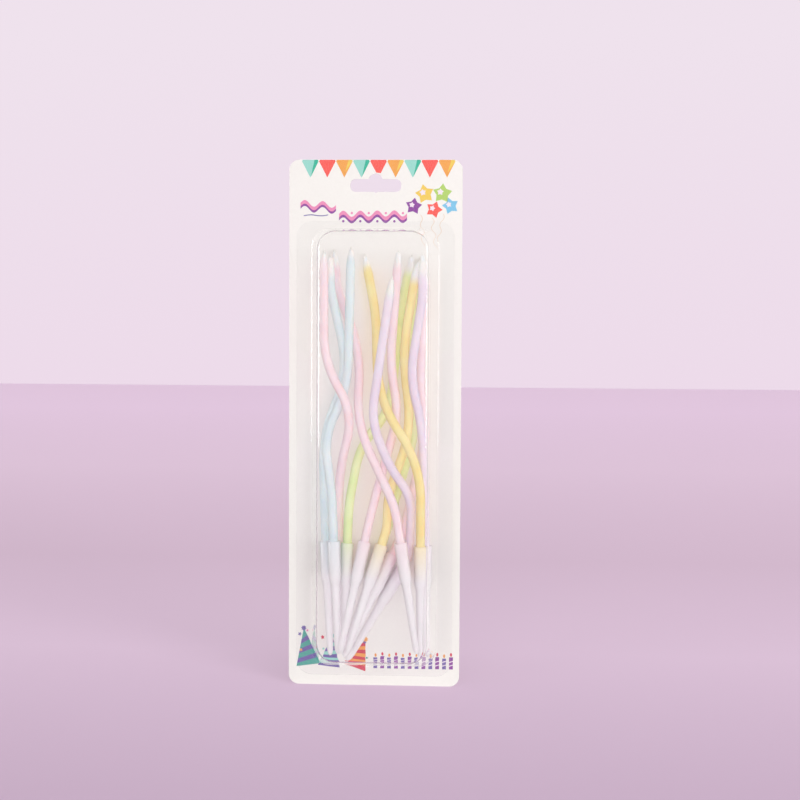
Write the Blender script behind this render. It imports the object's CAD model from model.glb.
import bmesh
import bpy
from math import ceil, cos, pi, radians, sin, tan
from mathutils import Matrix, Vector


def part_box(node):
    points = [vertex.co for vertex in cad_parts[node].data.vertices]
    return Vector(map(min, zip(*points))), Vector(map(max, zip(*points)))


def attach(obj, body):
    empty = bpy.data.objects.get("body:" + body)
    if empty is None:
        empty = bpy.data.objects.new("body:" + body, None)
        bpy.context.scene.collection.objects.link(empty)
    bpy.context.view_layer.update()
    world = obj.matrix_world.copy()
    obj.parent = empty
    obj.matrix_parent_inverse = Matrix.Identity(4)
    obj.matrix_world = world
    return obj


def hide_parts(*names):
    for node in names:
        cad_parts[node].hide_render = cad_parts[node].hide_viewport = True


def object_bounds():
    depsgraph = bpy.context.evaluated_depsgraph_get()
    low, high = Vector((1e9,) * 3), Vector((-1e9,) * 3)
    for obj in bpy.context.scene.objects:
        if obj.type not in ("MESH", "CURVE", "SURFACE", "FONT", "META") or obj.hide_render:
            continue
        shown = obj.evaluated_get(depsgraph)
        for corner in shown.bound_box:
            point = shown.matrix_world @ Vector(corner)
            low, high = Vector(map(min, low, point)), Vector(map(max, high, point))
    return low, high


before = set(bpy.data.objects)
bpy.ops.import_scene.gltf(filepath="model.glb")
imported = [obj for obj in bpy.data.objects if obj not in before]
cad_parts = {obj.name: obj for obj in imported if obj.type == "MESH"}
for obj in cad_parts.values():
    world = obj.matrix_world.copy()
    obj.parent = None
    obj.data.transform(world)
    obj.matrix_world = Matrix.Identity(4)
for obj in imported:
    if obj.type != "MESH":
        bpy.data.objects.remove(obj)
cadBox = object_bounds()
mm = 0.001
print("frame loaded")


# Helpers for colours, nodes and pieces
def linear(hexColour):
    channels = [int(hexColour[i:i + 2], 16) / 255 for i in (1, 3, 5)]
    return [c / 12.92 if c < 0.04045 else ((c + 0.055) / 1.055) ** 2.4 for c in channels] + [1]


def addNode(tree, kind, settings=None, links=None):
    node = tree.nodes.new(kind)
    for name, value in (settings or {}).items():
        if isinstance(name, int) or name in node.inputs:
            node.inputs[name].default_value = value
        else:
            setattr(node, name, value)
    for name, source in (links or {}).items():
        tree.links.new(source, node.inputs[name])
    return node


def startMaterial(name):
    material = bpy.data.materials.new(name)
    material.use_nodes = True
    material.node_tree.nodes.clear()
    return material, material.node_tree


def setRamp(node, stops):
    ramp = node.color_ramp
    while len(ramp.elements) < len(stops):
        ramp.elements.new(0.5)
    for element, (at, colour) in zip(ramp.elements, stops):
        element.position = at
        element.color = linear(colour)
    return node


sharpFrom = 38  # degrees between faces that stay sharp


def makePiece(name, bm, materials, smooth=True):
    mesh = bpy.data.meshes.new(name)
    for face in bm.faces:
        face.smooth = smooth
    bm.to_mesh(mesh)
    bm.free()
    if smooth:
        mesh.set_sharp_from_angle(angle=radians(sharpFrom))
    for material in materials:
        mesh.materials.append(material)
    piece = bpy.data.objects.new(name, mesh)
    bpy.context.collection.objects.link(piece)
    return piece


# A cloudy body lets part of a lamp's light through, so its shadow is pale and tinted
passedLight = {"white": "#FFFFFF", "whiteShare": 0.5, "around": 0.9}


def letThrough(tree, shader, colour, share):
    pale = addNode(tree, "ShaderNodeMix", {"data_type": "RGBA", 0: passedLight["whiteShare"],
                                           7: linear(passedLight["white"])}, {6: colour})
    clear = addNode(tree, "ShaderNodeBsdfTransparent", {}, {"Color": pale.outputs[2]})
    ray = addNode(tree, "ShaderNodeLightPath")
    direct = addNode(tree, "ShaderNodeMath", {"operation": "MULTIPLY", 1: share},
                     {0: ray.outputs["Is Shadow Ray"]})
    around = addNode(tree, "ShaderNodeMath", {"operation": "MULTIPLY", 1: passedLight["around"]},
                     {0: ray.outputs["Is Diffuse Ray"]})
    part = addNode(tree, "ShaderNodeMath", {"operation": "MAXIMUM"},
                   {0: direct.outputs[0], 1: around.outputs[0]})
    lit = addNode(tree, "ShaderNodeMixShader", {},
                  {0: part.outputs[0], 1: shader.outputs[0], 2: clear.outputs[0]})
    addNode(tree, "ShaderNodeOutputMaterial", {}, {"Surface": lit.outputs[0]})


# Paraffin wax, drawn through a die and bent warm: soft, slightly cloudy, with a waxy half gloss
waxFinish = {"smoothest": 0.34, "roughest": 0.5, "ior": 1.44, "scatter": 0.4, "scatterMm": 1.6,
             "scatterTint": (1.0, 0.75, 0.6), "cloudMm": 12.0, "grainMm": 0.35, "grain": 0.12,
             "grainDepthMm": 0.03, "through": 0.94}


def makeWax(name, body, shade, dipped):
    material, tree = startMaterial(name)
    spot = addNode(tree, "ShaderNodeTexCoord").outputs["Object"]
    cloud = addNode(tree, "ShaderNodeTexNoise",
                    {"Scale": 1 / (waxFinish["cloudMm"] * mm), "Detail": 3.0, "Roughness": 0.55},
                    {"Vector": spot})
    cloudy = addNode(tree, "ShaderNodeMapRange", {"From Min": 0.35, "From Max": 0.7},
                     {"Value": cloud.outputs[0]})
    tint = addNode(tree, "ShaderNodeMix", {"data_type": "RGBA", 6: linear(body), 7: linear(shade)},
                   {0: cloudy.outputs[0]})
    # the white dip at the end thins out into the colour
    dip = addNode(tree, "ShaderNodeAttribute", {"attribute_name": "whiteDip"})
    colour = addNode(tree, "ShaderNodeMix", {"data_type": "RGBA", 7: linear(dipped)},
                     {0: dip.outputs["Fac"], 6: tint.outputs[2]})
    grain = addNode(tree, "ShaderNodeTexNoise",
                    {"Scale": 1 / (waxFinish["grainMm"] * mm), "Detail": 2.0}, {"Vector": spot})
    polish = addNode(tree, "ShaderNodeMapRange",
                     {"From Min": 0.3, "From Max": 0.7, "To Min": waxFinish["smoothest"],
                      "To Max": waxFinish["roughest"]}, {"Value": cloud.outputs[0]})
    bump = addNode(tree, "ShaderNodeBump",
                   {"Strength": waxFinish["grain"], "Distance": waxFinish["grainDepthMm"] * mm},
                   {"Height": grain.outputs[0]})
    shader = addNode(tree, "ShaderNodeBsdfPrincipled",
                     {"IOR": waxFinish["ior"], "Subsurface Weight": waxFinish["scatter"],
                      "Subsurface Radius": waxFinish["scatterTint"],
                      "Subsurface Scale": waxFinish["scatterMm"] * mm},
                     {"Base Color": colour.outputs[2], "Roughness": polish.outputs[0],
                      "Normal": bump.outputs[0]})
    letThrough(tree, shader, colour.outputs[2], waxFinish["through"])
    return material


waxColours = {  # body and its cloudier shade
    "pink": ("#FFE8EE", "#FDDDE5"),
    "blue": ("#E7F1F4", "#DBE9EF"),
    "yellow": ("#FFEDB2", "#FDE39A"),
    "lavender": ("#F3E6F2", "#EADAEC"),
    "green": ("#ECF8C2", "#E2F2B0"),
}
tipWhite = "#F6F4F3"
waxes = {name: makeWax(name + "ParaffinWax", body, shade, tipWhite)
         for name, (body, shade) in waxColours.items()}


# Polypropylene, injection moulded: milky and satin, and the wax in the cup shows through its wall
holderFinish = {"body": "#F8F4F7", "milk": "#F3EEF3", "smoothest": 0.29, "roughest": 0.41, "ior": 1.49,
                "scatter": 0.35, "scatterMm": 1.5, "scatterTint": (1.0, 0.9, 0.95), "show": 0.55,
                "showMm": 17.0, "flowMm": 7.0, "through": 0.94}


def makePolypropylene(name, waxColour):
    material, tree = startMaterial(name)
    spot = addNode(tree, "ShaderNodeTexCoord").outputs["Object"]
    flow = addNode(tree, "ShaderNodeTexNoise",
                   {"Scale": 1 / (holderFinish["flowMm"] * mm), "Detail": 2.0}, {"Vector": spot})
    milky = addNode(tree, "ShaderNodeMix",
                    {"data_type": "RGBA", 6: linear(holderFinish["body"]), 7: linear(holderFinish["milk"])},
                    {0: flow.outputs[0]})
    cup = addNode(tree, "ShaderNodeAttribute", {"attribute_name": "waxShow"})
    colour = addNode(tree, "ShaderNodeMix", {"data_type": "RGBA", 7: linear(waxColour)},
                     {0: cup.outputs["Fac"], 6: milky.outputs[2]})
    haze = addNode(tree, "ShaderNodeMapRange",
                   {"To Min": holderFinish["smoothest"], "To Max": holderFinish["roughest"]},
                   {"Value": flow.outputs[0]})
    shader = addNode(tree, "ShaderNodeBsdfPrincipled",
                     {"IOR": holderFinish["ior"], "Subsurface Weight": holderFinish["scatter"],
                      "Subsurface Radius": holderFinish["scatterTint"],
                      "Subsurface Scale": holderFinish["scatterMm"] * mm},
                     {"Base Color": colour.outputs[2], "Roughness": haze.outputs[0]})
    letThrough(tree, shader, colour.outputs[2], holderFinish["through"])
    return material


polypropylenes = {name: makePolypropylene(name + "CupPolypropylene", shade)
                  for name, (body, shade) in waxColours.items()}


# Cotton, twisted from strands and dipped in wax: white, matt, with fine fibres
wickFinish = {"hollow": "#EBE7E1", "crest": "#F8F6F3", "fibreMm": 0.12, "bump": 0.5, "bumpMm": 0.06,
              "roughness": 0.85, "sheen": 0.3}


def makeCotton():
    material, tree = startMaterial("braidedCottonWick")
    spot = addNode(tree, "ShaderNodeTexCoord").outputs["Object"]
    fibre = addNode(tree, "ShaderNodeTexNoise", {"Scale": 1 / (wickFinish["fibreMm"] * mm), "Detail": 3.0},
                    {"Vector": spot})
    colour = setRamp(addNode(tree, "ShaderNodeValToRGB", {}, {"Fac": fibre.outputs[0]}),
                     [(0.3, wickFinish["hollow"]), (0.7, wickFinish["crest"])])
    bump = addNode(tree, "ShaderNodeBump",
                   {"Strength": wickFinish["bump"], "Distance": wickFinish["bumpMm"] * mm},
                   {"Height": fibre.outputs[0]})
    shader = addNode(tree, "ShaderNodeBsdfPrincipled",
                     {"Roughness": wickFinish["roughness"], "Sheen Weight": wickFinish["sheen"]},
                     {"Base Color": colour.outputs[0], "Normal": bump.outputs[0]})
    addNode(tree, "ShaderNodeOutputMaterial", {}, {"Surface": shader.outputs[0]})
    return material


cotton = makeCotton()
print("wax, polypropylene and cotton made")


# Candles, in mm and degrees, and how far the white dip reaches down each from its point
candleShape = {"waxDiameter": 4.4, "tipLength": 9.0, "wickOut": 1.4, "wickDiameter": 0.9, "bendShare": 0.45,
               "pitch": 6.9, "step": 10.0, "cupRow": -181.5, "cupDepth": 16.0, "sides": 28, "turnPerStep": 4.0,
               "dipRings": 3, "dipRing": 0.9}
whiteDip = {"pink_1": 3.2, "blue_1": 9.5, "blue_2": 3.8, "pink_2": 6.6, "yellow_1": 5.2, "lavender_1": 9.0,
            "pink_3": 6.6, "green_1": 7.6, "green_2": 8.5, "yellow_2": 9.0, "lavender_2": 8.8, "pink_4": 8.5,
            "fade": 4.0}
candleRuns = {  # bends from the point down, the holder's aim and its mouth, in pitches and steps from the cups
    "pink_1": ([(-3.46, 2.10, 14.28), (-3.42, 2.24, 9.01), (-1.36, 2.01, 6.44), (-2.49, 0.83, 3.47)],
               (-2.51, 0.28, -5.58), 0.01),
    "blue_1": ([(-3.05, 1.53, 14.05), (-3.08, 1.31, 12.58), (-1.83, 0.60, 8.53), (-3.75, 0.64, 5.18)],
               (-2.99, 1.54, -5.47), 0.11),
    "blue_2": ([(-1.59, 1.69, 14.44), (-1.82, 1.31, 7.80), (-3.47, 1.62, 5.21), (-2.86, 2.12, 2.79)],
               (-2.43, 1.87, -5.34), 0.25),
    "pink_2": ([(-2.89, 0.38, 14.32), (-2.70, 0.38, 12.64), (-0.95, 0.74, 9.41), (-1.17, 1.61, 5.96),
                (1.64, 2.23, 1.93)], (3.18, 1.65, -5.33), 0.21),
    "yellow_1": ([(-0.72, 0.38, 14.13), (0.11, 0.76, 11.30), (0.31, 1.51, 7.21), (3.43, 2.35, 3.99)],
                 (3.40, 1.18, -5.55), 0.03),
    "lavender_1": ([(1.32, 2.20, 13.00), (-0.10, 2.21, 6.16), (1.18, 1.99, 3.93), (2.80, 1.59, 2.37),
                    (2.55, 1.08, -0.58)], (-1.95, 0.28, -6.00), -1.16),
    "pink_3": ([(1.74, 1.63, 14.30), (1.14, 1.24, 8.86), (1.77, 0.94, 6.48), (-0.04, 1.48, 1.87)],
               (-2.24, 2.33, -5.26), 0.20),
    "green_1": ([(2.61, 0.80, 14.12), (1.73, 0.38, 11.11), (1.10, 0.38, 6.62), (-1.03, 0.75, 4.78),
                 (-1.72, 1.39, 1.99)], (-2.10, 1.23, -5.48), 0.11),
    "green_2": ([(3.14, 0.38, 13.95), (2.37, 0.40, 9.45), (2.94, 0.38, 5.44), (1.88, 0.43, 3.15),
                 (0.88, 0.53, 0.50)], (-2.06, 0.53, -5.46), -0.16),
    "yellow_2": ([(3.08, 1.59, 13.82), (2.02, 1.49, 9.45), (2.70, 1.05, 5.69), (1.05, 1.23, 2.47),
                  (1.03, 1.75, 0.91)], (-1.73, 2.33, -5.26), 0.08),
    "lavender_2": ([(3.45, 2.21, 14.11), (3.48, 2.16, 12.14), (2.61, 1.98, 8.32), (3.50, 1.51, 5.77)],
                   (3.82, 0.27, -5.61), -0.03),
    "pink_4": ([(3.62, 0.98, 13.84), (3.28, 1.19, 7.71), (3.73, 0.66, 5.47), (2.18, 0.78, 0.75)],
               (-1.99, 1.88, -5.51), -0.45),
}
waxRadius = candleShape["waxDiameter"] / 2 * mm


def placePoint(across, deep, up):
    pitch = candleShape["pitch"]
    return Vector((across * pitch, -deep * pitch, candleShape["cupRow"] + up * candleShape["step"])) * mm


def turnTo(origin, ahead):
    return Matrix.Translation(origin) @ ahead.to_track_quat("Z", "Y").to_matrix().to_4x4()


def ringEdges(bm, segments, radius, place):
    ring = bmesh.ops.create_circle(bm, cap_ends=False, segments=segments, radius=radius, matrix=place)
    return list({edge for vert in ring["verts"] for edge in vert.link_edges})


def pushRing(bm, edges, move, grow=1.0, centre=None, twist=0.0, axis=None):
    out = bmesh.ops.extrude_edge_only(bm, edges=edges)["geom"]
    verts = [part for part in out if isinstance(part, bmesh.types.BMVert)]
    if grow != 1.0:
        bmesh.ops.scale(bm, verts=verts, vec=(grow,) * 3, space=Matrix.Translation(-centre))
    if twist:
        bmesh.ops.rotate(bm, verts=verts, cent=centre, matrix=Matrix.Rotation(twist, 3, axis))
    bmesh.ops.translate(bm, verts=verts, vec=move)
    return [part for part in out if isinstance(part, bmesh.types.BMEdge)
            and part.verts[0] in verts and part.verts[1] in verts]


def closeTube(bm):
    bmesh.ops.holes_fill(bm, edges=[edge for edge in bm.edges if edge.is_boundary], sides=0)
    bmesh.ops.recalc_face_normals(bm, faces=bm.faces[:])


def markDip(bm, end, ahead, length):
    layer = bm.verts.layers.float.new("whiteDip")
    for vert in bm.verts:
        past = ((vert.co - end).dot(ahead) / mm - length) / whiteDip["fade"]
        vert[layer] = min(1.0, max(0.0, 0.5 - past))


def makeWaxBody(name, stops, radii, dip, material):
    bm = bmesh.new()
    first = (stops[1] - stops[0]).normalized()
    edges = ringEdges(bm, candleShape["sides"], waxRadius, turnTo(stops[0], first))
    at = stops[0]
    for step in range(candleShape["dipRings"]):  # short rings that carry the end of the white dip
        edges = pushRing(bm, edges, first * candleShape["dipRing"] * mm)
        at = at + first * candleShape["dipRing"] * mm
    for corner, after, radius in zip(stops[1:], stops[2:], radii):
        ahead = (corner - at).normalized()
        onward = (after - corner).normalized()
        turn = ahead.angle(onward)
        trim = radius * tan(turn / 2)
        edges = pushRing(bm, edges, corner - ahead * trim - at)
        centre = corner + (onward - ahead).normalized() * radius / cos(turn / 2)
        ends = list({vert for edge in edges for vert in edge.verts})
        bent = bmesh.ops.spin(bm, geom=ends + edges, cent=centre, axis=ahead.cross(onward).normalized(),
                              angle=turn, steps=ceil(turn / radians(candleShape["turnPerStep"])),
                              use_merge=False)
        edges = [part for part in bent["geom_last"] if isinstance(part, bmesh.types.BMEdge)]
        at = corner + onward * trim
    pushRing(bm, edges, stops[-1] - at)
    closeTube(bm)
    markDip(bm, stops[0] - first * candleShape["tipLength"] * mm, first, dip)
    return makePiece(name, bm, [material])


# Tip: a slim cone with a rounded end, dipped in white, as (share of its length, share of its width)
tipRings = [(0.0, 1.0), (0.1, 0.985), (0.3, 0.9), (0.55, 0.76), (0.78, 0.61), (0.92, 0.51), (0.98, 0.43),
            (1.0, 0.32)]


def makeTip(name, base, up, dip, material):
    bm = bmesh.new()
    edges = ringEdges(bm, candleShape["sides"], waxRadius, turnTo(base, up))
    length = candleShape["tipLength"] * mm
    for (share, width), (nextShare, nextWidth) in zip(tipRings, tipRings[1:]):
        edges = pushRing(bm, edges, up * (nextShare - share) * length, nextWidth / width,
                         base + up * share * length)
    closeTube(bm)
    markDip(bm, base + up * length, -up, dip)
    return makePiece(name, bm, [material])


# Wick: three strands twisted into a cord, from inside the tip to its cut end
wickTwist = {"strands": 3, "strandSides": 4, "steps": 18, "length": 4.4, "turnPerStep": 24, "groove": 0.78}


def makeWick(name, end, up):
    bm = bmesh.new()
    start = end - up * wickTwist["length"] * mm
    sides = wickTwist["strandSides"]
    edges = ringEdges(bm, wickTwist["strands"] * sides, candleShape["wickDiameter"] / 2 * mm, turnTo(start, up))
    for index, vert in enumerate(bm.verts):
        if index % sides in (0, sides - 1):  # the groove between two strands
            bmesh.ops.scale(bm, verts=[vert], vec=(wickTwist["groove"],) * 3, space=Matrix.Translation(-start))
    rise = up * wickTwist["length"] / wickTwist["steps"] * mm
    for step in range(wickTwist["steps"]):
        edges = pushRing(bm, edges, rise, 1.0, start + rise * step, radians(wickTwist["turnPerStep"]), up)
    closeTube(bm)
    return makePiece(name, bm, [cotton])


# Holder: (radius, drop from the mouth) along its wall, from the cup's floor to the point
holderOutline = [(0, 16.0), (2.05, 16.0), (2.25, 15.7), (2.25, 0.35), (2.36, 0.1), (2.56, 0.0), (2.9, 0.0),
                 (3.1, 0.08), (3.2, 0.32), (3.0, 18.0), (2.96, 18.5), (2.8, 19.3), (2.45, 20.9), (2.28, 21.6),
                 (2.2, 22.4), (1.5, 52.8), (1.36, 53.8), (1.0, 55.0), (0.62, 55.7), (0.3, 55.95), (0, 56.0)]
holderMesh = {"sides": 32, "weldMm": 0.001}


def makeHolder(name, mouth, down, material):
    bm = bmesh.new()
    wall = [bm.verts.new((radius * mm, 0, drop * mm)) for radius, drop in holderOutline]
    edges = [bm.edges.new(pair) for pair in zip(wall, wall[1:])]
    bmesh.ops.spin(bm, geom=wall + edges, cent=(0, 0, 0), axis=(0, 0, 1), angle=2 * pi,
                   steps=holderMesh["sides"], use_merge=True)
    bmesh.ops.remove_doubles(bm, verts=bm.verts[:], dist=holderMesh["weldMm"] * mm)
    bmesh.ops.recalc_face_normals(bm, faces=bm.faces[:])
    show = bm.verts.layers.float.new("waxShow")
    for vert in bm.verts:
        vert[show] = holderFinish["show"] if vert.co.z < holderFinish["showMm"] * mm else 0.0
    bmesh.ops.transform(bm, matrix=turnTo(mouth, down), verts=bm.verts[:])
    return makePiece(name, bm, [material])


for name, (bends, aim, mouthUp) in candleRuns.items():
    colour = name.split("_")[0]
    points = [placePoint(*bend) for bend in bends]
    target = placePoint(*aim)
    axis = (points[-1] - target).normalized()
    mouthHeight = placePoint(0, 0, mouthUp).z
    mouth = target + axis * ((mouthHeight - target.z) / axis.z)
    foot = mouth - axis * candleShape["cupDepth"] * mm
    up = (points[0] - points[1]).normalized()
    tipBase = points[0] - up * candleShape["tipLength"] * mm
    stops = [tipBase] + points[1:] + [mouth]
    radii = []
    for before, corner, after in zip(stops, stops[1:], stops[2:]):
        halfTurn = (corner - before).angle(after - corner) / 2
        shorter = min((corner - before).length, (after - corner).length)
        radii.append(candleShape["bendShare"] * shorter / tan(halfTurn))
    pieces = {
        "wax": makeWaxBody(name + ".wax", stops[:-1] + [foot], radii, whiteDip[name], waxes[colour]),
        "tip": makeTip(name + ".tip", tipBase, up, whiteDip[name], waxes[colour]),
        "wick": makeWick(name + ".wick", points[0] + up * candleShape["wickOut"] * mm, up),
        "holder": makeHolder(name + ".holder", mouth, -axis, polypropylenes[colour]),
    }
    for part, piece in pieces.items():
        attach(piece, "pack" if part == "holder" else name + "_candle")
        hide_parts(name + "_" + part)
print("candles and holders made")


# Bleached board, coated and varnished on the front, bare on the back, with a raw cut edge
cardFinish = {"front": "#F8F5F2", "back": "#E7E1D8", "edge": "#EAE4DB", "fibreMm": 1.6,
              "frontFleck": "#F3EFEC", "bareFleck": "#D8CFC2", "varnished": 0.48, "bare": 0.85, "ior": 1.45,
              "bump": 0.08, "bumpMm": 0.03}


def makeBoard():
    material, tree = startMaterial("coatedBleachedBoard")
    spot = addNode(tree, "ShaderNodeTexCoord").outputs["Object"]
    fibre = addNode(tree, "ShaderNodeTexNoise",
                    {"Scale": 1 / (cardFinish["fibreMm"] * mm), "Detail": 4.0, "Roughness": 0.6},
                    {"Vector": spot})
    facing = addNode(tree, "ShaderNodeSeparateXYZ", {},
                     {0: addNode(tree, "ShaderNodeNewGeometry").outputs["Normal"]}).outputs["Y"]
    onBack = addNode(tree, "ShaderNodeMath", {"operation": "GREATER_THAN", 1: 0.5}, {0: facing})
    onFront = addNode(tree, "ShaderNodeMath", {"operation": "LESS_THAN", 1: -0.5}, {0: facing})
    fleck = addNode(tree, "ShaderNodeMapRange", {"From Min": 0.35, "From Max": 0.75, "To Max": 0.5},
                    {"Value": fibre.outputs[0]})
    bare = addNode(tree, "ShaderNodeMix", {"data_type": "RGBA", 6: linear(cardFinish["edge"]),
                                           7: linear(cardFinish["back"])}, {0: onBack.outputs[0]})
    flecked = addNode(tree, "ShaderNodeMix", {"data_type": "RGBA", 7: linear(cardFinish["bareFleck"])},
                      {0: fleck.outputs[0], 6: bare.outputs[2]})
    coat = addNode(tree, "ShaderNodeMix", {"data_type": "RGBA", 6: linear(cardFinish["front"]),
                                           7: linear(cardFinish["frontFleck"])}, {0: fleck.outputs[0]})
    colour = addNode(tree, "ShaderNodeMix", {"data_type": "RGBA"},
                     {0: onFront.outputs[0], 6: flecked.outputs[2], 7: coat.outputs[2]})
    rough = addNode(tree, "ShaderNodeMapRange",
                    {"To Min": cardFinish["bare"], "To Max": cardFinish["varnished"]},
                    {"Value": onFront.outputs[0]})
    bump = addNode(tree, "ShaderNodeBump",
                   {"Strength": cardFinish["bump"], "Distance": cardFinish["bumpMm"] * mm},
                   {"Height": fibre.outputs[0]})
    shader = addNode(tree, "ShaderNodeBsdfPrincipled", {"IOR": cardFinish["ior"]},
                     {"Base Color": colour.outputs[2], "Roughness": rough.outputs[0],
                      "Normal": bump.outputs[0]})
    addNode(tree, "ShaderNodeOutputMaterial", {}, {"Surface": shader.outputs[0]})
    return material


board = makeBoard()
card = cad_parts["card"]
card.data.materials.clear()
card.data.materials.append(board)


# Offset ink on the coated board: flat colour with a fine screen that lets the white through
inkColours = {
    "teal": "#9ADBD0", "deepTeal": "#1FB89A", "red": "#FB5A52", "orange": "#F5A64B", "yellow": "#F4CF5A",
    "purple": "#8E3FA0", "violet": "#6C5AA8", "pink": "#EE8FBC", "green": "#B4D56A", "blue": "#7CC6EC",
    "pale": "#F6E9F4", "tan": "#EBD2BC", "seaGreen": "#3FA79A", "crimson": "#D9324F",
}
inkFinish = {"screenMm": 0.5, "thinnest": 0.18, "roughness": 0.42, "ior": 1.45}


def makeInk(name, colour):
    material, tree = startMaterial(name + "OffsetInk")
    spot = addNode(tree, "ShaderNodeTexCoord").outputs["Object"]
    screen = addNode(tree, "ShaderNodeTexNoise", {"Scale": 1 / (inkFinish["screenMm"] * mm), "Detail": 2.0},
                     {"Vector": spot})
    thin = addNode(tree, "ShaderNodeMapRange",
                   {"From Min": 0.4, "From Max": 0.8, "To Max": inkFinish["thinnest"]},
                   {"Value": screen.outputs[0]})
    layer = addNode(tree, "ShaderNodeMix",
                    {"data_type": "RGBA", 6: linear(colour), 7: linear(cardFinish["front"])},
                    {0: thin.outputs[0]})
    shader = addNode(tree, "ShaderNodeBsdfPrincipled",
                     {"Roughness": inkFinish["roughness"], "IOR": inkFinish["ior"]},
                     {"Base Color": layer.outputs[2]})
    addNode(tree, "ShaderNodeOutputMaterial", {}, {"Surface": shader.outputs[0]})
    return material


inkNames = list(inkColours)
inks = [makeInk(name, colour) for name, colour in inkColours.items()]
printDepth = {"first": 0.016, "second": 0.022, "third": 0.028}  # mm in front of the card
cardPrint = bmesh.new()


def inkFace(corners, ink, layer="first"):
    face = cardPrint.faces.new([cardPrint.verts.new((x * mm, -printDepth[layer] * mm, z * mm))
                                for x, z in corners])
    face.material_index = inkNames.index(ink)


def inkDisc(x, z, radius, ink, layer, segments, inner=None, turn=0.0, stretch=1.0):
    place = (Matrix.Translation((x * mm, -printDepth[layer] * mm, z * mm))
             @ Matrix.Rotation(radians(turn), 4, "Y") @ Matrix.Diagonal((1, 1, stretch, 1))
             @ Matrix.Rotation(pi / 2, 4, "X"))
    disc = bmesh.ops.create_circle(cardPrint, cap_ends=True, segments=segments, radius=radius * mm,
                                   matrix=place)
    if inner:
        centre = Matrix.Translation(-place.translation)
        bmesh.ops.scale(cardPrint, verts=disc["verts"][1::2], vec=(inner,) * 3, space=centre)
    for face in {face for vert in disc["verts"] for face in vert.link_faces}:
        face.material_index = inkNames.index(ink)


ribbonSteps = 14  # faces per wave


def inkRibbon(x, z, length, width, wave, waves, ink, layer, slope, upright=False):
    steps = int(waves * ribbonSteps)
    grid = bmesh.ops.create_grid(cardPrint, x_segments=steps, y_segments=1, size=0.5)
    for vert in grid["verts"]:
        along, across = vert.co.x + 0.5, vert.co.y
        swing = wave * sin(2 * pi * waves * along)
        run, rise = along * length, swing + across * width + slope * along * length
        right, high = (rise, -run) if upright else (run, rise)
        vert.co = ((x + right) * mm, -printDepth[layer] * mm, (z + high) * mm)
    for face in {face for vert in grid["verts"] for face in vert.link_faces}:
        face.material_index = inkNames.index(ink)


# Bunting along the top edge
bunting = {"left": -36.4, "pitch": 8.38, "top": 6.7, "tip": -1.9, "count": 9, "space": 0.3, "cutAt": 0.25,
           "cutRise": 0.3, "shoulder": 0.35, "shoulderDrop": 0.77, "foldWidth": 1.95, "foldTip": 0.35}
flagInks = [("teal", "deepTeal", 0.4), ("red", None, 0), ("orange", "yellow", 2.6)]  # flag, fold, fold's end
for index in range(bunting["count"]):
    ink, fold, foldUp = flagInks[index % len(flagInks)]
    left = bunting["left"] + index * bunting["pitch"] + bunting["space"] / 2
    right = left + bunting["pitch"] - bunting["space"]
    middle = (left + right) / 2
    top = bunting["top"]
    shoulder = top - bunting["shoulderDrop"]
    tip = [(middle, bunting["tip"])]
    if index == bunting["count"] // 2:  # the hump of the hang slot takes this flag's tip
        gap = (right - left) / 2 * (bunting["cutAt"] - bunting["tip"]) / (shoulder - bunting["tip"])
        tip = [(middle - gap, bunting["cutAt"] + bunting["cutRise"]), (middle + gap, bunting["cutAt"])]
    rightEnd = (right - bunting["shoulder"], top)
    inkFace([(left, shoulder)] + tip + [(right, shoulder), rightEnd, (left + bunting["shoulder"], top)], ink)
    if fold:
        inkFace([(right - bunting["foldWidth"], top), (middle + bunting["foldTip"], bunting["tip"] + foldUp),
                 (right, shoulder), rightEnd], fold, "second")

# Stars and streamers at the right of the header
starShape = {"sides": 10, "inner": 0.6, "shineLeft": 0.2, "shineUp": 0.15, "shine": 0.36}
headerStars = [(18.6, -15.8, 4.2, "purple", 8), (24.0, -9.8, 4.8, "yellow", -12),
               (28.6, -17.4, 4.2, "red", 20), (32.6, -9.6, 4.9, "green", 4), (36.6, -15.6, 4.2, "blue", -16)]
for x, z, radius, ink, turn in headerStars:
    inkDisc(x, z, radius, ink, "first", starShape["sides"], starShape["inner"], turn)
    inkDisc(x - starShape["shineLeft"] * radius, z + starShape["shineUp"] * radius, starShape["shine"] * radius,
            "pale", "second", starShape["sides"], starShape["inner"], turn)
streamer = {"length": 15.0, "width": 0.28, "waves": 2.2}
for x, z, wave, slope in [(22.0, -20.0, 0.7, 0.12), (27.6, -21.4, 0.9, 0.12), (33.2, -19.6, 0.7, -0.2)]:
    inkRibbon(x, z, streamer["length"], streamer["width"], wave, streamer["waves"], "tan", "first", slope, True)

# Wavy ribbons and dots across the header
headerRibbons = [  # start, length, width, height and number of waves, ink, layer, slope
    (-37.0, -15.4, 17.5, 2.3, 1.5, 2.0, "pink", "first", -0.06),
    (-37.0, -16.6, 17.5, 1.1, 1.5, 2.0, "purple", "second", -0.06),
    (-35.4, -20.6, 12.0, 0.45, 0.35, 1.0, "violet", "first", 0.04),
    (-18.0, -20.9, 33.4, 2.6, 1.5, 4.0, "pink", "first", 0.01),
    (-18.0, -22.2, 33.4, 1.3, 1.5, 4.0, "purple", "second", 0.01),
]
for ribbon in headerRibbons:
    inkRibbon(*ribbon)
headerDots = {"count": 8, "left": -15.9, "step": 4.18, "radius": 0.6, "sides": 14}
dotRows = [(-23.2, "purple"), (-19.2, "pink")]
for index in range(headerDots["count"]):  # one dot in each hollow of the long ribbon
    z, ink = dotRows[index % 2]
    inkDisc(headerDots["left"] + index * headerDots["step"], z, headerDots["radius"], ink, "third",
            headerDots["sides"])

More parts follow.
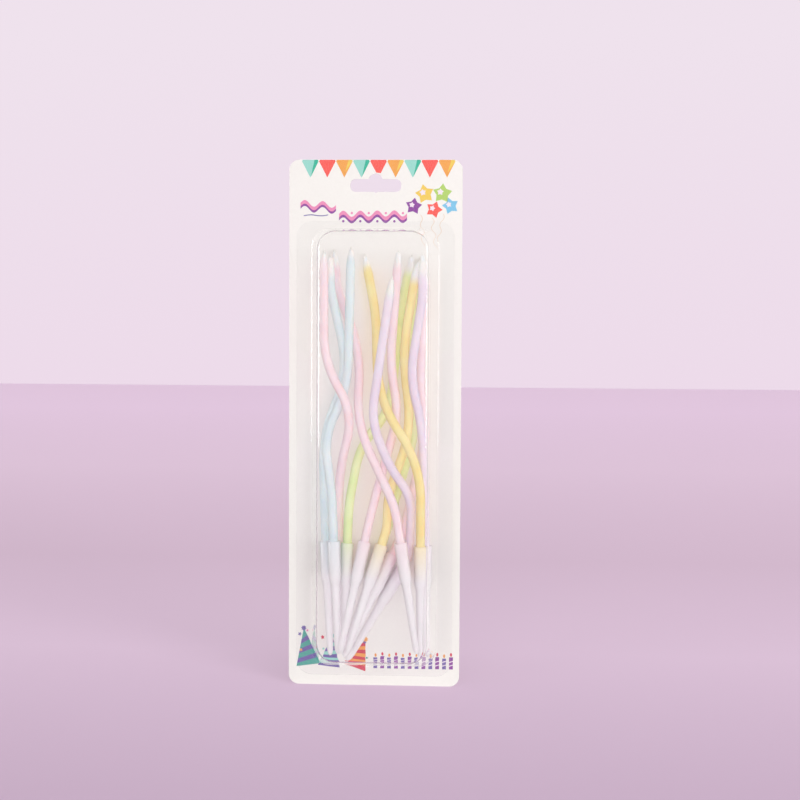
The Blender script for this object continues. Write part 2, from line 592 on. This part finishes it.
# Striped cone hats and confetti at the foot, left
hats = [  # foot, width, height, lean, ink and stripes
    (-32.4, -243.4, 12.6, 18.6, 8, "seaGreen", "violet"),
    (-22.4, -244.0, 11.0, 15.6, -6, "violet", "teal"),
    (-9.4, -244.4, 11.2, 15.4, -20, "crimson", "orange"),
]
hatStripes = [(0.08, 0.2), (0.33, 0.45), (0.58, 0.7)]
hatShape = {"stripeRise": 0.1, "tuft": 1.5, "tuftSides": 16, "tuftInner": 0.6}
for x, z, width, height, turn, ink, stripe in hats:
    lean = Matrix.Rotation(radians(turn), 2)
    foot = Vector((x, z))

    def onHat(across, up):
        return tuple(foot + lean @ Vector((across * width * (1 - up) / 2, up * height)))

    inkFace([onHat(-1, 0), onHat(1, 0), onHat(0, 1)], ink)
    for low, high in hatStripes:
        rise = hatShape["stripeRise"]
        inkFace([onHat(-1, low), onHat(1, low + rise), onHat(1, high + rise), onHat(-1, high)], stripe,
                "second")
    inkDisc(*onHat(0, 1), hatShape["tuft"], stripe, "third", hatShape["tuftSides"], hatShape["tuftInner"], turn)
confetti = [(-37.0, -228.0, 1.1, "violet"), (-25.6, -229.4, 1.2, "crimson"), (-36.4, -236.0, 0.9, "orange"),
            (-15.6, -230.6, 1.0, "seaGreen"), (-4.6, -231.4, 1.0, "violet"), (-25.2, -235.2, 0.8, "teal"),
            (-3.4, -239.6, 0.9, "seaGreen"), (-15.4, -237.4, 0.8, "orange"), (-33.2, -226.2, 0.8, "pink")]
confettiShape = {"sides": 10, "inner": 0.5, "turnPerMm": 9}
for x, z, radius, ink in confetti:
    inkDisc(x, z, radius, ink, "third", confettiShape["sides"], confettiShape["inner"],
            x * confettiShape["turnPerMm"])

# A row of little lit candles at the foot, right
rowMark = {"left": 0.8, "step": 3.42, "count": 12, "foot": -244.6, "height": 5.4, "width": 1.9,
           "bands": (0.25, 0.6), "bandWidth": 0.5, "bandRise": 0.6}
flameMark = {"up": 1.25, "radius": 0.55, "sides": 14, "stretch": 1.7}
rowKinds = [(0, "violet", "orange"), (0.7, "purple", "crimson")]  # extra height, candle and flame
for index in range(rowMark["count"]):
    extra, ink, flame = rowKinds[index % 2]
    x = rowMark["left"] + index * rowMark["step"]
    high = rowMark["foot"] + rowMark["height"] + extra
    left, right = x - rowMark["width"] / 2, x + rowMark["width"] / 2
    inkFace([(left, rowMark["foot"]), (right, rowMark["foot"]), (right, high), (left, high)], ink)
    for band in rowMark["bands"]:
        low = rowMark["foot"] + band * rowMark["height"]
        inkFace([(left, low), (right, low + rowMark["bandRise"]),
                 (right, low + rowMark["bandRise"] + rowMark["bandWidth"]), (left, low + rowMark["bandWidth"])],
                "pale", "second")
    inkDisc(x, high + flameMark["up"], flameMark["radius"], flame, "first", flameMark["sides"],
            stretch=flameMark["stretch"])

cardPrint.normal_update()
bmesh.ops.reverse_faces(cardPrint, faces=[face for face in cardPrint.faces if face.normal.y > 0])
printing = makePiece("card.print", cardPrint, inks, False)
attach(printing, "pack")
print("card and print made")


# Clear PET sheet, heated and drawn over a mould: bright and clear, with light lines along its bends
sheetFinish = {"tint": "#FFFFFF", "roughness": 0.03, "ior": 1.57, "waveMm": 24.0, "wave": 0.3,
               "waveDepthMm": 0.05}


def makeSheet():
    material, tree = startMaterial("clearDrawnPet")
    spot = addNode(tree, "ShaderNodeTexCoord").outputs["Object"]
    wave = addNode(tree, "ShaderNodeTexNoise", {"Scale": 1 / (sheetFinish["waveMm"] * mm), "Detail": 1.0},
                   {"Vector": spot})
    bump = addNode(tree, "ShaderNodeBump",
                   {"Strength": sheetFinish["wave"], "Distance": sheetFinish["waveDepthMm"] * mm},
                   {"Height": wave.outputs[0]})
    shader = addNode(tree, "ShaderNodeBsdfPrincipled",
                     {"Base Color": linear(sheetFinish["tint"]), "Roughness": sheetFinish["roughness"],
                      "IOR": sheetFinish["ior"], "Transmission Weight": 1.0}, {"Normal": bump.outputs[0]})
    # lamps and soft light reach the card and the candles straight through the sheet
    clear = addNode(tree, "ShaderNodeBsdfTransparent", {"Color": linear(sheetFinish["tint"])})
    ray = addNode(tree, "ShaderNodeLightPath")
    soft = addNode(tree, "ShaderNodeMath", {"operation": "MAXIMUM"},
                   {0: ray.outputs["Is Shadow Ray"], 1: ray.outputs["Is Diffuse Ray"]})
    lit = addNode(tree, "ShaderNodeMixShader", {},
                  {0: soft.outputs[0], 1: shader.outputs[0], 2: clear.outputs[0]})
    addNode(tree, "ShaderNodeOutputMaterial", {}, {"Surface": lit.outputs[0]})
    return material


sheetPet = makeSheet()
blisterLow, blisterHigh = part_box("blister")
blisterShape = {"thickness": 0.36, "sheet": 0.4, "corner": 9.0, "flangeCorner": 8.0, "front": 2.2, "base": 0.9,
                "flangeSide": 7.55, "flangeTop": 3.4, "flangeFoot": 4.6, "sideDraft": 4.7, "topDraft": 2.2,
                "footDraft": 5.5}
blisterSteps = {"corner": 10, "front": 6, "base": 4}  # faces round each bend


def sheetLoop(bm, left, right, foot, top, y, radius):
    corners = [bm.verts.new((x, y, z)) for x, z in ((left, foot), (right, foot), (right, top), (left, top))]
    bm.faces.new(corners)
    made = bmesh.ops.bevel(bm, geom=corners, offset=radius, offset_type="OFFSET", affect="VERTICES",
                           segments=blisterSteps["corner"], profile=0.5, material=-1)
    return made["verts"][0].link_faces[0]


def makeBlister():
    bm = bmesh.new()
    size = {name: value * mm for name, value in blisterShape.items()}
    left, right = blisterLow.x + size["flangeSide"], blisterHigh.x - size["flangeSide"]
    foot, top = blisterLow.z + size["flangeFoot"], blisterHigh.z - size["flangeTop"]
    flange = sheetLoop(bm, blisterLow.x, blisterHigh.x, blisterLow.z, blisterHigh.z, -size["sheet"],
                       size["flangeCorner"])
    base = sheetLoop(bm, left, right, foot, top, -size["sheet"], size["corner"])
    front = sheetLoop(bm, left + size["sideDraft"], right - size["sideDraft"], foot + size["footDraft"],
                      top - size["topDraft"], blisterLow.y, size["corner"])
    loops = [list(face.edges) for face in (flange, base, front)]
    bmesh.ops.delete(bm, geom=[flange, base], context="FACES_ONLY")
    bmesh.ops.bridge_loops(bm, edges=loops[0] + loops[1])
    bmesh.ops.bridge_loops(bm, edges=loops[1] + loops[2])
    bmesh.ops.recalc_face_normals(bm, faces=bm.faces[:])
    if front.normal.y > 0:
        bmesh.ops.reverse_faces(bm, faces=bm.faces[:])
    for loop, bend in ((loops[2], "front"), (loops[1], "base")):
        bmesh.ops.bevel(bm, geom=[edge for edge in loop if edge.is_valid], offset=size[bend],
                        offset_type="OFFSET", affect="EDGES", segments=blisterSteps[bend], profile=0.5,
                        material=-1)
    bmesh.ops.solidify(bm, geom=bm.faces[:], thickness=size["thickness"])
    return makePiece("cover.blister", bm, [sheetPet])


blister = makeBlister()
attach(blister, "cover")
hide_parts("blister")
print("blister made")


# Studio: lilac floor and backdrop, soft lamps, and the camera of the photograph
studio = {"bounce": "#F6F2F2", "paperRoughness": 0.6, "wallAt": 2.79, "reach": 4.0, "room": "#FFFDFC",
          "roomLight": 0.55, "floorGlow": 0.42, "wallGlow": 1.0}
floorTones = [  # by depth, m
    (-0.2, "#D5BBD3"), (0.08, "#EBD1E8"), (0.4, "#E6CBE1"), (1.05, "#F6DBF2"), (2.04, "#FFE3FD"),
]
wallTones = [(-0.25, "#EDDBEA"), (0.5, "#EFE2ED")]  # by height, m


def makePaper(name, tones, axis, glowShare):
    material, tree = startMaterial(name)
    spot = addNode(tree, "ShaderNodeTexCoord").outputs["Object"]
    along = addNode(tree, "ShaderNodeSeparateXYZ", {}, {0: spot}).outputs[axis]
    first, last = tones[0][0], tones[-1][0]
    share = addNode(tree, "ShaderNodeMapRange", {"From Min": first, "From Max": last}, {"Value": along})
    colour = setRamp(addNode(tree, "ShaderNodeValToRGB", {}, {"Fac": share.outputs[0]}),
                     [((at - first) / (last - first), tone) for at, tone in tones]).outputs[0]
    ray = addNode(tree, "ShaderNodeLightPath")
    seen = addNode(tree, "ShaderNodeMath", {"operation": "MAXIMUM"},
                   {0: ray.outputs["Is Camera Ray"], 1: ray.outputs["Is Glossy Ray"]})
    seen = addNode(tree, "ShaderNodeMath", {"operation": "MAXIMUM"},
                   {0: seen.outputs[0], 1: ray.outputs["Is Transmission Ray"]})
    tone = addNode(tree, "ShaderNodeMix", {"data_type": "RGBA", 6: linear(studio["bounce"])},
                   {0: seen.outputs[0], 7: colour})
    shader = addNode(tree, "ShaderNodeBsdfDiffuse", {"Roughness": studio["paperRoughness"]},
                     {"Color": tone.outputs[2]})
    glow = addNode(tree, "ShaderNodeEmission", {}, {"Color": colour})
    part = addNode(tree, "ShaderNodeMath", {"operation": "MULTIPLY", 1: glowShare}, {0: seen.outputs[0]})
    surface = addNode(tree, "ShaderNodeMixShader", {},
                      {0: part.outputs[0], 1: shader.outputs[0], 2: glow.outputs[0]})
    addNode(tree, "ShaderNodeOutputMaterial", {}, {"Surface": surface.outputs[0]})
    return material


def laySheet(name, matrix, material):
    bm = bmesh.new()
    bmesh.ops.create_grid(bm, x_segments=1, y_segments=1, size=studio["reach"], matrix=matrix)
    makePiece(name, bm, [material], False)


floorHeight = cadBox[0].z
laySheet("floorPaper", Matrix.Translation((0, studio["wallAt"] - studio["reach"], floorHeight)),
         makePaper("lilacFloorPaper", floorTones, "Y", studio["floorGlow"]))
laySheet("wallPaper", Matrix.Translation((0, studio["wallAt"], floorHeight + studio["reach"]))
         @ Matrix.Rotation(pi / 2, 4, "X"),
         makePaper("lilacWallPaper", wallTones, "Z", studio["wallGlow"]))

world = bpy.data.worlds.new("softRoom")
world.use_nodes = True
world.node_tree.nodes.clear()
room = addNode(world.node_tree, "ShaderNodeBackground",
               {"Color": linear(studio["room"]), "Strength": studio["roomLight"]})
addNode(world.node_tree, "ShaderNodeOutputWorld", {}, {"Surface": room.outputs[0]})
bpy.context.scene.world = world

packMiddle = Vector((0, -0.008, -0.123))  # m, where the lamps point
lamps = {  # place, width and height in m, power, and whether it shines on things or shows as a glint in them
    "keyLamp": ((0.95, -1.1, 0.0), (0.6, 0.28), 5.3, "shine"),
    "fillLamp": ((-1.1, -0.9, 0.0), (0.6, 0.28), 1.0, "shine"),
    "frontLamp": ((0.2, -1.3, -0.09), (1.2, 0.14), 5.0, "shine"),
    "leftStrip": ((-1.4, -0.3, -0.2), (0.34, 1.2), 15.0, "show"),
    "rightStrip": ((1.35, -0.36, -0.2), (0.24, 1.2), 12.0, "show"),
}
for name, (spot, (width, height), power, role) in lamps.items():
    lamp = bpy.data.lights.new(name, "AREA")
    lamp.shape = "RECTANGLE"
    lamp.size = width
    lamp.size_y = height
    lamp.energy = power
    lampStand = bpy.data.objects.new(name, lamp)
    lampStand.location = spot
    lampStand.rotation_euler = (packMiddle - Vector(spot)).to_track_quat("-Z", "Y").to_euler()
    lampStand.visible_transmission = False
    lampStand.visible_glossy = role == "show"
    lampStand.visible_diffuse = role == "shine"
    bpy.context.collection.objects.link(lampStand)

cameraView = {"place": (61.58, -817.92, -60.64), "turn": 3.44, "down": 3.502, "roll": 0.299, "lens": 75.0,
              "sensor": 36, "nearest": 10}  # mm and degrees
turn, down, roll = (radians(cameraView[name]) for name in ("turn", "down", "roll"))
ahead = Vector((-sin(turn) * cos(down), cos(turn) * cos(down), -sin(down)))
side = Vector((cos(turn), sin(turn), 0))
over = side.cross(ahead)
camera = bpy.data.objects.new("camera", bpy.data.cameras.new("camera"))
camera.data.lens = cameraView["lens"]
camera.data.sensor_width = cameraView["sensor"]
camera.data.clip_start = cameraView["nearest"] * mm
camera.matrix_world = Matrix((side * cos(roll) + over * sin(roll), over * cos(roll) - side * sin(roll),
                              -ahead)).transposed().to_4x4()
camera.location = Vector(cameraView["place"]) * mm
bpy.context.collection.objects.link(camera)
bpy.context.scene.camera = camera
bpy.context.scene.view_settings.view_transform = "Standard"
print("studio made")
